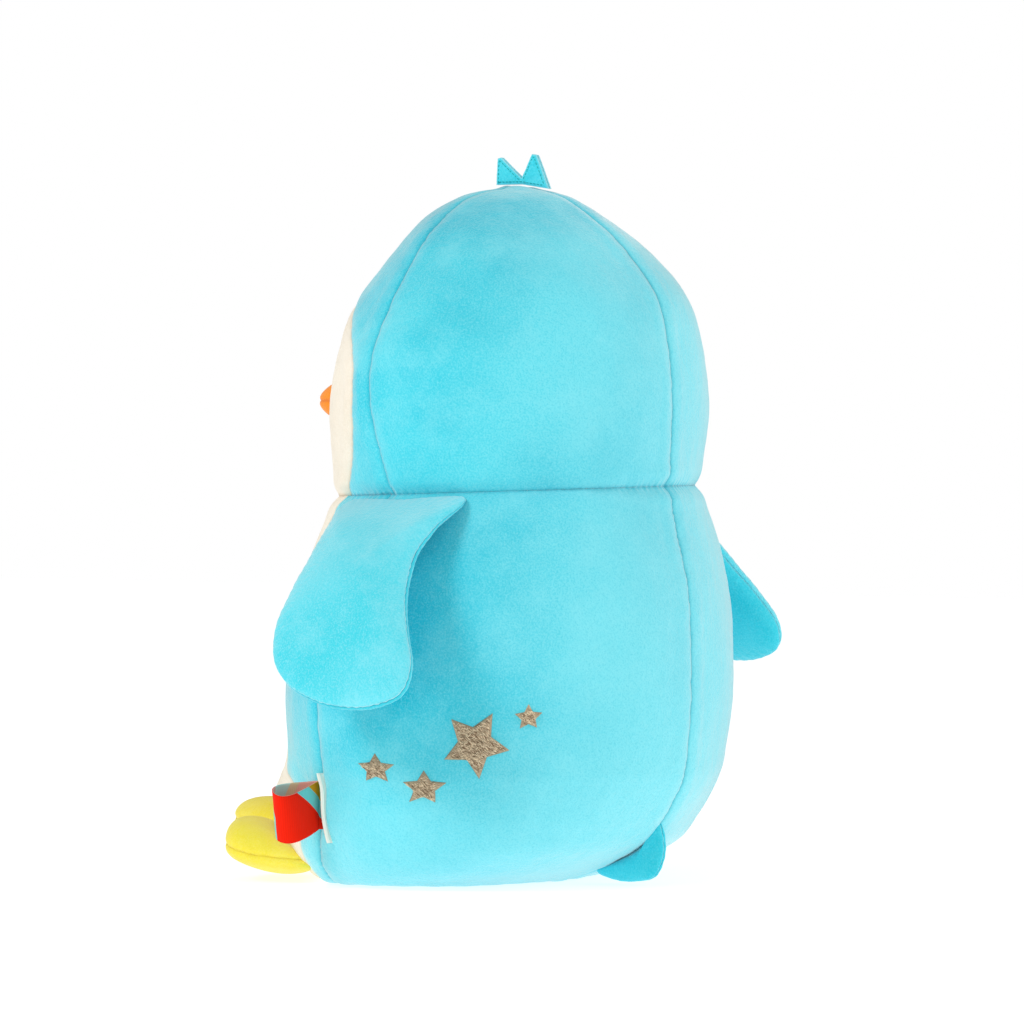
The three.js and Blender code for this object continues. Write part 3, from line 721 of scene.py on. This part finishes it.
def build_wing(side):
    place, root, down = wing_place(side)
    # The outer side gets the blue with painted light, the inner side the blue with painted shade.
    for panel, sign, blue in (("outer", 1, LIT_BLUE), ("inner", -1, SHADED_BLUE)):
        piece = pillow_side(
            f"wing_{side}_{panel}", WING_OUTLINE, WING["half"], place, sign, blue,
            (48, 320), 5 + sign, wing_plump, wing_seam_shift,
        )
        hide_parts(f"wing_{side}_{panel}_panel")
        if panel == "outer":
            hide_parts(f"wing_{side}_stuffing")
        sew_on(piece)


# ------------------------------------------------------------------ feet
FOOT = {
    "width": 56, "half": 10.5, "height": 9, "bend": 22, "tuck": 3, "heel_fill": 0.7, "drop": 2.5,
}
# The foot's edge as fractions of its length and half-width, from the heel towards the toe.
FOOT_EDGE = [(0.35, 0.95), (0.72, 0.88), (0.93, 0.5)]
FEET = {
    "left": {"heel": (48, -83.5), "toe": (55, -106.6), "lift": 10},
    "right": {"heel": (-32, -95), "toe": (-21, -154), "lift": 14},
}


def heel_line(x, z):
    """How far back the belly's skin is at a place on a sewn heel, a little inside it."""
    lower, upper = BODY_SECTIONS[1], BODY_SECTIONS[3]
    rise = np.clip((z - lower[0]) / (upper[0] - lower[0]), 0, 1)
    half_width, half_depth, centre = (a + (b - a) * rise for a, b in zip(lower[1:], upper[1:]))
    inside_skin = np.sqrt(np.clip(1 - (x / half_width) ** 2, 0.02, 1))
    return centre - half_depth * inside_skin + FOOT["tuck"]


def build_foot(side):
    foot = FEET[side]
    heel, toe = np.array(foot["heel"], float), np.array(foot["toe"], float)
    length = np.linalg.norm(toe - heel)
    forward = (toe - heel) / length
    across = np.array([-forward[1], forward[0]])
    half = FOOT["width"] / 2
    edge = [(1, 0.75 * half)] + [(length * along, half * out) for along, out in FOOT_EDGE]
    corners = [(1, 0)] + [(x, -y) for x, y in edge] + [(length, 0)] + edge[::-1]

    def place(x, y, h):
        flat = heel + forward * x[..., None] + across * y[..., None]
        z = FOOT["height"] + h + foot["lift"] * x / length
        bend = np.clip(1 - x / FOOT["bend"], 0, None) ** 2
        to_belly = heel_line(flat[..., 0], z) - (heel[1] + across[1] * y)
        return np.stack([flat[..., 0], flat[..., 1] + bend * to_belly, z], -1)

    def from_heel(x):
        return np.clip(x / (0.5 * length), 0, 1)

    def plump(x, y):
        return FOOT["heel_fill"] + (1 - FOOT["heel_fill"]) * np.sin(from_heel(x) * PI / 2)

    def seam_shift(x, y):
        return -FOOT["drop"] * from_heel(x)

    for panel, sign in (("upper", 1), ("sole", -1)):
        piece = pillow_side(
            f"foot_{side}_{panel}", corners, FOOT["half"], place, sign, YELLOW,
            (36, 220), 12 + sign, plump, seam_shift,
        )
        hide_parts(f"foot_{side}_{panel}_panel")
        if panel == "upper":
            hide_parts(f"foot_{side}_stuffing")
        sew_on(piece)


# ------------------------------------------------------------------ tail
TAIL = {"half": 4.2, "edge": 20.4, "tuck": 2.6, "tuck_depth": 9}
TAIL_OUTLINE = [
    (72.5, 24), (73.5, 15), (71.5, 7), (67.5, 2.4), (60, 0.7), (51, 0.8), (41.5, 2.6),
    (51, 7.6), (59, 11.6), (66, 16.4),
]


def build_tail():
    # The sewn edge runs along the body, and is moved a little into the seam's groove.
    into_body = np.array([0, -0.55, 0.83])

    def place(x, y, h):
        away = -into_body[1] * x - into_body[2] * y - TAIL["edge"]
        near = np.clip(1 - away / TAIL["tuck_depth"], 0, 1)
        return np.stack([h, x, y], -1) + into_body * (TAIL["tuck"] * near**2)[..., None]

    # The tail gets the blue with painted shade.
    for panel, sign in (("left", 1), ("right", -1)):
        piece = pillow_side(
            f"tail_{panel}", TAIL_OUTLINE, TAIL["half"], place, sign, SHADED_BLUE,
            (26, 170), 30 + sign,
        )
        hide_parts(f"tail_{panel}_panel")
        if panel == "left":
            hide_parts("tail_stuffing")
        sew_on(piece)


# ------------------------------------------------------------------ base panel
BASE = {"half_width": 69, "half_depth": 46, "centre": (0, -25), "gathers": 46}


def build_base():
    """The oval panel that the toy sits on, gathered a little at its seam."""
    turn = np.linspace(0, 2 * PI, 300, endpoint=False)
    centre = np.array(BASE["centre"], float)
    rim = np.stack([BASE["half_width"] * np.cos(turn), BASE["half_depth"] * np.sin(turn)], 1)
    reach = edge_crowded(90)[:, None, None]
    flat = centre + rim * reach
    from_rim = (1 - reach[..., 0]) * BASE["half_depth"]
    gathers = 0.25 * np.sin(turn * BASE["gathers"]) * np.exp(-((from_rim / 5) ** 2))
    seam = np.exp(-((from_rim / 1.3) ** 2))
    under = 0.3 + 0.9 * seam + np.abs(gathers)
    bottom = np.concatenate([flat, np.broadcast_to(under[..., None], flat.shape[:2] + (1,))], -1)
    top = bottom + np.array([0, 0, FABRIC])
    points, faces = closed_disc(bottom, top)
    shades = np.broadcast_to(seam, flat.shape[:2])
    piece = make_piece("base_oval", points, faces, BLUE, seam_values(shades))
    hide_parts("base_panel")
    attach(piece, "torso")


# ------------------------------------------------------------------ threads
def thread_mesh(starts, ends, normals, radius, rise, sides=6, stations=6):
    """Points and faces of short round threads that arch from their starts to their ends."""
    along = ends - starts
    side = unit(np.cross(normals, along))
    s = np.linspace(0, 1, stations)
    taper = np.sqrt(np.clip(1.06 - (2 * s - 1) ** 2, 0.02, 1))
    arch = np.sin(PI * s)
    centre = (
        starts[:, None] + along[:, None] * s[None, :, None]
        + normals[:, None] * rise * arch[None, :, None]
    )
    turn = np.linspace(0, 2 * PI, sides, endpoint=False)
    ring = (
        side[:, None, :] * np.cos(turn)[None, :, None]
        + normals[:, None, :] * np.sin(turn)[None, :, None]
    )
    points = centre[:, :, None] + radius * taper[None, :, None, None] * ring[:, None]
    index = np.arange(points[..., 0].size).reshape(points.shape[:3])
    follow = np.roll(index, -1, axis=2)
    quads = np.stack([index[:, :-1], index[:, 1:], follow[:, 1:], follow[:, :-1]], -1)
    faces = quads.reshape(-1, 4).tolist()
    faces += index[:, 0].tolist() + index[:, -1][:, ::-1].tolist()
    return points.reshape(-1, 3), faces, stations * sides


def join_parts(parts):
    """One list of points and faces from several."""
    points, faces, first = [], [], 0
    for some_points, some_faces in parts:
        points.append(some_points)
        faces += [[corner + first for corner in face] for face in some_faces]
        first += len(some_points)
    return np.concatenate(points), faces


def straight_outline(corners, count):
    """A closed line with straight sides, as evenly spaced points."""
    return even_points(np.array([*corners, corners[0]], float), count)[0]


def distance_to(outline, flat):
    """How far 2-D points are from a dense outline."""
    points = flat.reshape(-1, 2)
    gaps = [
        np.linalg.norm(chunk[:, None] - outline[None], axis=-1).min(1)
        for chunk in np.array_split(points, max(1, len(points) // 4000))
    ]
    return np.concatenate(gaps).reshape(flat.shape[:-1])


# ------------------------------------------------------------------ crest
CREST = {"thickness": 1.5, "gap": 0.4, "lift": 0.8, "middle": (4, 292)}
CREST_CORNERS = [
    (-8.5, 290.5), (-8.2, 301.6), (-6.6, 302), (4, 293.2), (9.4, 303.2), (11.4, 302.8),
    (17.2, 288.6), (4, 290.6),
]
OVERLOCK = {"inset": 1.15, "length": 1.25, "step": 0.85, "radius": 0.17, "lowest": 290.2}


def crest_depth(y, z):
    """How far the crest's middle leans to the side at a place in its plane."""
    height = np.clip((z - 290) / 12, 0, 1)
    return 0.5 * height**2 * np.sin(y / 5)


def build_crest():
    outline = straight_outline(CREST_CORNERS, 480)
    middle = np.array(CREST["middle"], float)
    reach = np.linspace(0, 1, 44)[:, None, None]
    flat = middle + (outline - middle) * reach
    edge = distance_to(outline, flat)
    for layer, sign in (("left", 1), ("right", -1)):
        y, z = flat[..., 0], flat[..., 1] + CREST["lift"]
        lean = crest_depth(y, z)
        near = sign * (CREST["gap"] / 2) + lean
        nap = 0.12 * ripple(np.stack([y, z, 0 * y], -1), 2.6, 40 + sign)
        thick = CREST["thickness"] * (0.62 + 0.38 * np.clip(edge / 1.4, 0, 1)) + nap
        outer = np.stack([near + sign * thick, y, z], -1)
        inner = np.stack([near, y, z], -1)
        points, faces = closed_disc(outer, inner)
        values = seam_values(np.exp(-((edge / 0.4) ** 2)))
        piece = make_piece(f"crest_{layer}", points, faces, CREST_BLUE, values)
        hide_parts(f"crest_{layer}_layer")
        sew_on(piece)
        build_overlock(layer, sign, outline)


def build_overlock(layer, sign, outline):
    """The stitches along the edges of the crest, a little inside them."""
    forward = unit(np.roll(outline, -1, axis=0) - np.roll(outline, 1, axis=0))
    inward = np.stack([forward[:, 1], -forward[:, 0]], 1)
    line = outline + inward * OVERLOCK["inset"]
    kept = distance_to(outline, line) > OVERLOCK["inset"] * 0.93
    kept &= line[:, 1] > OVERLOCK["lowest"]
    spacing = np.linalg.norm(outline[1] - outline[0])
    stride = max(1, round((OVERLOCK["length"] + OVERLOCK["step"] / 2) / spacing))
    places, directions = line[kept][::stride], forward[kept][::stride]
    surface = sign * (CREST["gap"] / 2 + CREST["thickness"] * 0.97)
    ends = []
    for reach in (-0.5, 0.5):
        y, z = (places + directions * OVERLOCK["length"] * reach).T
        ends.append(np.stack([surface + crest_depth(y, z), y, z + CREST["lift"]], 1))
    normals = np.tile(np.array([sign, 0.0, 0.0]), (len(places), 1))
    points, faces, _ = thread_mesh(*ends, normals, OVERLOCK["radius"], 0.12)
    tones = {"tone": np.zeros(len(points))}
    piece = make_piece(f"crest_{layer}_stitches", points, faces, TEAL_THREAD, tones)
    sew_on(piece)


# ------------------------------------------------------------------ beak
BEAK = {"base": -71.9, "length": 26, "half_width": 15, "half_height": 12, "height": 200.5}


def build_beak():
    """Two half cones of plush that meet in the mouth seam."""
    u = edge_crowded(64)[:, None]
    reach = (1 - np.clip(u, 0, 0.9995) ** 1.7) ** 0.62
    for panel, sign in (("upper", 1), ("lower", -1)):
        turn = sign * PI * edge_crowded(96)[None, :]
        across = np.cos(turn) * reach
        up = np.sin(turn) * reach
        seam = np.exp(-(np.abs(np.sin(turn)) * BEAK["half_height"] * reach / 1.0) ** 1.3)
        tuck = np.exp(-((u * BEAK["length"] / 1.6) ** 2))
        back = np.broadcast_to(BEAK["base"] - BEAK["length"] * u, across.shape)
        rise = BEAK["height"] + BEAK["half_height"] * up
        full = np.stack([BEAK["half_width"] * across, back, rise], -1)
        normal = unit(np.stack([across, -0.25 - 0.6 * u * np.ones_like(across), up], -1))
        pull = 0.9 * seam + 1.0 * tuck - 0.25 * ripple(full, 13, 51)
        outer = full - normal * pull[..., None]
        points, faces = closed_grid(outer, outer - normal * 1.0)
        # Painted shade: the orange darkens at the mouth seam and where the beak tucks into the
        # head.
        values = seam_values(np.maximum(seam, tuck))
        piece = make_piece(f"beak_{panel}", points, faces, ORANGE, values)
        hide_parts(f"beak_{panel}_panel")
        if panel == "upper":
            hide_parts("beak_stuffing")
        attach(piece, "torso")


# ------------------------------------------------------------------ embroidery
EYE = {"angle": 24, "height": 217, "half_width": 4.6, "half_height": 6.2, "slant": 0.1}
# Each star's angle, height, half-width, half-height and turn.
STARS = [
    (90.3, 51.1, 8.9, 6.4, 0),
    (104.6, 43.7, 9.2, 7.3, 0),
    (118.1, 61.9, 13.6, 14.4, -28),
    (131.2, 72.8, 5.9, 5.4, 2),
]
STAR_NOTCH = 0.5
STAR_SLANT = -0.7


def fraction_at(skin, height, t):
    """The height fraction at which the skin passes each height, found by halving."""
    low, high = np.zeros_like(t), np.ones_like(t)
    for _ in range(20):
        middle = (low + high) / 2
        below = skin.at(middle, t)[..., 2] < height
        low, high = np.where(below, middle, low), np.where(below, high, middle)
    return (low + high) / 2


def star_outline(half_width, half_height, turn):
    corners = []
    for k in range(10):
        reach = 1 if k % 2 == 0 else STAR_NOTCH
        direction = math.radians(90 + turn) + k * PI / 5
        x, y = reach * math.cos(direction), reach * math.sin(direction)
        corners.append((half_width * x, half_height * y))
    return corners


def inside(corners, flat):
    """Whether 2-D points are inside a closed outline."""
    x, y = flat[..., 0], flat[..., 1]
    crossings = np.zeros(x.shape, bool)
    for (ax, ay), (bx, by) in zip(corners, np.roll(corners, -1, axis=0)):
        spans = (ay > y) != (by > y)
        crossings ^= spans & (x < (bx - ax) * (y - ay) / (by - ay + 1e-12) + ax)
    return crossings


class Motif:
    """A flat design laid on the stuffed surface of the head or the body."""

    def __init__(self, skin, angle, height):
        self.skin, self.angle, self.height = skin, math.radians(angle), height
        u = fraction_at(skin, height, np.array([self.angle]))
        sides = [skin.at(u, self.angle + turn)[0] for turn in (0.5, -0.5)]
        self.per_radian = np.linalg.norm(sides[0] - sides[1])

    def place(self, flat, lift):
        t = self.angle + flat[..., 0] / self.per_radian
        u = fraction_at(self.skin, self.height + flat[..., 1], t)
        surface, normal, _ = dressed(self.skin, u, t)
        return surface + normal * np.asarray(lift)[..., None], normal


def embroider(name, node, motif, corners, material, slot, seed, slant):
    """A low pad with a covering of short threads, about one direction, inside the outline."""
    outline = straight_outline(corners, 200)
    reach = np.linspace(0, 1, 16)[:, None, None]
    flat = outline * reach
    edge = distance_to(outline, flat)
    top, _ = motif.place(flat, 0.15 + 0.4 * np.clip(edge / 0.7, 0, 1))
    under, _ = motif.place(flat, np.full(edge.shape, -0.5))
    pad_points, pad_faces = closed_disc(top, under)
    rng = np.random.default_rng(seed)
    box = np.abs(corners).max(0)
    count = int(box[0] * box[1] * 4 * 3.4)
    starts = rng.uniform(-1, 1, (count, 2)) * box
    angles = slant + rng.normal(0, 0.22, count) + (rng.uniform(0, 1, count) < 0.16) * 1.2
    steps = np.stack([np.cos(angles), np.sin(angles)], 1) * rng.uniform(1.3, 2.6, count)[:, None]
    ends = starts + steps
    kept = inside(corners, starts * 1.03) & inside(corners, ends * 1.03)
    starts, ends = starts[kept], ends[kept]
    lift = rng.uniform(0.35, 0.75, len(starts))
    low, normal = motif.place(starts, lift)
    high, _ = motif.place(ends, lift)
    points, faces, each = thread_mesh(low, high, normal, 0.17, 0.12)
    tones = np.repeat(rng.uniform(0, 1, len(starts)), each)
    points, faces = join_parts([(pad_points, pad_faces), (points, faces)])
    values = {"tone": np.concatenate([np.full(len(pad_points), 0.3), tones])}
    piece = make_piece(name, points, faces, material, values)
    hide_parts(node)
    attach(piece, "torso")


def build_embroidery():
    for n, (angle, height, half_width, half_height, turn) in enumerate(STARS):
        corners = star_outline(half_width, half_height, turn)
        motif = Motif(BODY, angle, height)
        names = f"gold_star_{n + 1}", f"star_{n + 1}"
        embroider(*names, motif, corners, GOLD, "gold_thread", 60 + n, STAR_SLANT)
    turn = np.linspace(0, 2 * PI, 24, endpoint=False)
    oval = np.stack([EYE["half_width"] * np.cos(turn), EYE["half_height"] * np.sin(turn)], 1)
    for side, sign in (("left", 1), ("right", -1)):
        motif = Motif(HEAD, sign * EYE["angle"], EYE["height"])
        names = f"sewn_eye_{side}", f"eye_{side}"
        embroider(*names, motif, oval, DARK, "dark_thread", 70 + sign, EYE["slant"])


# ------------------------------------------------------------------ ribbon and label
RIBBON = {"width": 20, "reach": 20.4, "half_gap": 5.8, "thickness": 0.5, "angle": 67,
          "height": 34.5, "droop": 0.2, "tilt": 24, "skew": 0.37, "hug": 0, "stitched": 3.0}
LABEL = {"width": 29, "reach": 1.3, "half_gap": 0.6, "thickness": 0.35, "angle": 70.5,
         "height": 33.5, "droop": 0.0, "tilt": 0, "skew": 0, "hug": 1, "stitched": 4.2}


def twice(grid):
    """The same values for both sides of a sheet."""
    return np.concatenate([grid.ravel()] * 2)


def folded_tape(tape):
    """A tape folded into a loop that stands out of the side seam: its points and faces, its
    points' distances along and across it on each of its two sides, and its length."""
    t = math.radians(tape["angle"])
    u = fraction_at(BODY, tape["height"], np.array([t]))
    root = BODY.at(u, t)[0]
    outward = np.array([math.sin(t), -math.cos(t), 0])
    along = np.array([math.cos(t), math.sin(t), 0])
    s = np.linspace(0, 1, 120)[:, None]
    v = np.linspace(-0.5, 0.5, 30)[None, :] * tape["width"]
    reach = tape["reach"] + tape["stitched"]
    # The loop is a teardrop, thin at its stitched ends and round at its fold.
    turn = 2 * PI * s
    out = reach * (1 - np.cos(turn)) / 2 - tape["stitched"]
    free = np.clip(out / tape["reach"], 0, 1)
    least = 0.5 * tape["thickness"] * np.sign(0.5 - s) * np.clip(3 - 6 * free, 0, 1)
    apart = 1.3 * tape["half_gap"] * np.sin(turn) * np.abs(np.sin(turn / 2)) * free**0.3 + least
    waver = 0.25 * np.sin(v / 4.0) * np.sin(PI * s)
    # Its free end leans, so the far leaf stands higher than the near one.
    lean = math.radians(tape["tilt"]) * np.sqrt(free)
    sideways = apart * np.cos(lean) + v * np.sin(lean) * free + waver
    far = out + tape["skew"] * v * free
    heights = tape["height"] + v.ravel()
    body = BODY.at(fraction_at(BODY, heights, np.full(v.size, t)), np.full(v.size, t))
    sunk = tape["hug"] * ((body - root) @ outward)[None, :]
    centre = root + outward * (far + sunk)[..., None] + along * sideways[..., None]
    drop = tape["droop"] * np.clip(out, 0, None) + apart * np.sin(lean)
    centre[..., 2] = tape["height"] + v - drop
    lengthwise = np.gradient(centre, axis=0)
    upwards = np.gradient(centre, axis=1)
    normal = unit(np.cross(upwards, lengthwise))
    half = tape["thickness"] / 2
    points, faces = closed_grid(centre + normal * half, centre - normal * half)
    run = lengths_along(centre[:, 15])[:, None] + 0 * v
    across = np.broadcast_to(v, run.shape)
    return points, faces, run, across, float(run[-1, 0])


def build_ribbon():
    points, faces, run, across, length = folded_tape(RIBBON)
    run_out = run - RIBBON["stitched"]
    past_fold = run - length / 2
    near_leaf = across - run_out
    far_leaf = -46 - past_fold - 0.6 * (RIBBON["width"] / 2 - across)
    stripe = np.where(past_fold < 0, near_leaf, far_leaf)
    reverse = np.repeat([0, 1], run.size)
    values = {
        "stripe": twice(stripe), "reverse": reverse, "run": twice(run), "across": twice(across),
    }
    piece = make_piece("ribbon_tape", points, faces, WOVEN, values)
    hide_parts("ribbon_loop")
    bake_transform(piece)


def build_label():
    points, faces, run, across, length = folded_tape(LABEL)
    values = {"run": twice(run), "across": twice(across)}
    piece = make_piece("label_tab", points, faces, SATIN, values)
    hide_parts("care_label")
    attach(piece, "torso")


build_head()
build_body()
build_base()
for wing_side in ("left", "right"):
    build_wing(wing_side)
for foot_side in ("left", "right"):
    build_foot(foot_side)
build_tail()
build_crest()
build_beak()
build_embroidery()
build_ribbon()
build_label()


# ------------------------------------------------------------------ stage, light, camera
FLOOR = {"half": 3.0, "drop": 0.0004, "white": 0.5, "glow": 0.72}
AMBIENT = 0.56  # how brightly the white surroundings light the toy
# Each light's place, the height that it is aimed at, its size and its power.
LIGHTS = {
    "softbox": ((1.75, -0.5, 1.35), 0.15, 0.6, 17),
    "side": ((-0.9, 1.9, 0.9), 0.12, 1.2, 14),
}
CAMERA = {
    "azimuth": 122.0, "distance": 3.0, "height": 0.225, "aim": 0.154, "aside": 0.00126,
    "frame": 0.43, "sensor": 36.0,
}


def build_stage():
    mesh = bpy.data.meshes.new("floor")
    half, white = FLOOR["half"], FLOOR["white"]
    corners = [(x * half, y * half, 0) for x, y in ((-1, -1), (1, -1), (1, 1), (-1, 1))]
    mesh.from_pydata(corners, [], [(0, 1, 2, 3)])
    floor = bpy.data.objects.new("floor", mesh)
    bpy.context.scene.collection.objects.link(floor)
    nodes = Nodes("floor_white")
    settle(nodes.shader, {
        "Base Color": (white, white, white, 1), "Roughness": 0.9,
        "Emission Color": (1, 1, 1, 1), "Emission Strength": FLOOR["glow"],
    })
    floor.data.materials.append(nodes.material)
    floor.location.z = -FLOOR["drop"]


def area_light(name, place, aim_height, size, power):
    light = bpy.data.lights.new(name, "AREA")
    light.shape = "DISK"
    light.size = size
    light.energy = power
    lamp = bpy.data.objects.new(name, light)
    lamp.location = place
    direction = Vector((0, 0, aim_height)) - Vector(place)
    lamp.rotation_euler = direction.to_track_quat("-Z", "Y").to_euler()
    bpy.context.scene.collection.objects.link(lamp)


def build_camera():
    azimuth = math.radians(CAMERA["azimuth"])
    right = Vector((math.cos(azimuth), math.sin(azimuth), 0))
    target = Vector((0, 0, CAMERA["aim"])) - right * CAMERA["aside"]
    pitch = math.asin((CAMERA["height"] - CAMERA["aim"]) / CAMERA["distance"])
    level = Vector((math.sin(azimuth), -math.cos(azimuth), 0))
    back = level * math.cos(pitch) + Vector((0, 0, math.sin(pitch)))
    data = bpy.data.cameras.new("camera")
    data.sensor_width = CAMERA["sensor"]
    data.lens = CAMERA["sensor"] * CAMERA["distance"] / CAMERA["frame"]
    data.clip_end = 50
    camera = bpy.data.objects.new("camera", data)
    camera.location = target + back * CAMERA["distance"]
    camera.rotation_euler = (-back).to_track_quat("-Z", "Y").to_euler()
    bpy.context.scene.collection.objects.link(camera)
    bpy.context.scene.camera = camera


def build_light():
    world = bpy.data.worlds.new("studio")
    bpy.context.scene.world = world
    world.use_nodes = True
    tree = world.node_tree
    background = tree.nodes["Background"]
    settle(background, {"Color": (1, 1, 1, 1)})
    path = tree.nodes.new("ShaderNodeLightPath")
    strength = tree.nodes.new("ShaderNodeMapRange")
    settle(strength, {"To Min": AMBIENT, "To Max": 1.0})
    tree.links.new(path.outputs["Is Camera Ray"], strength.inputs["Value"])
    tree.links.new(strength.outputs["Result"], background.inputs["Strength"])
    for name, settings in LIGHTS.items():
        area_light(name, *settings)
    bpy.context.scene.view_settings.view_transform = "Standard"


build_stage()
build_camera()
build_light()
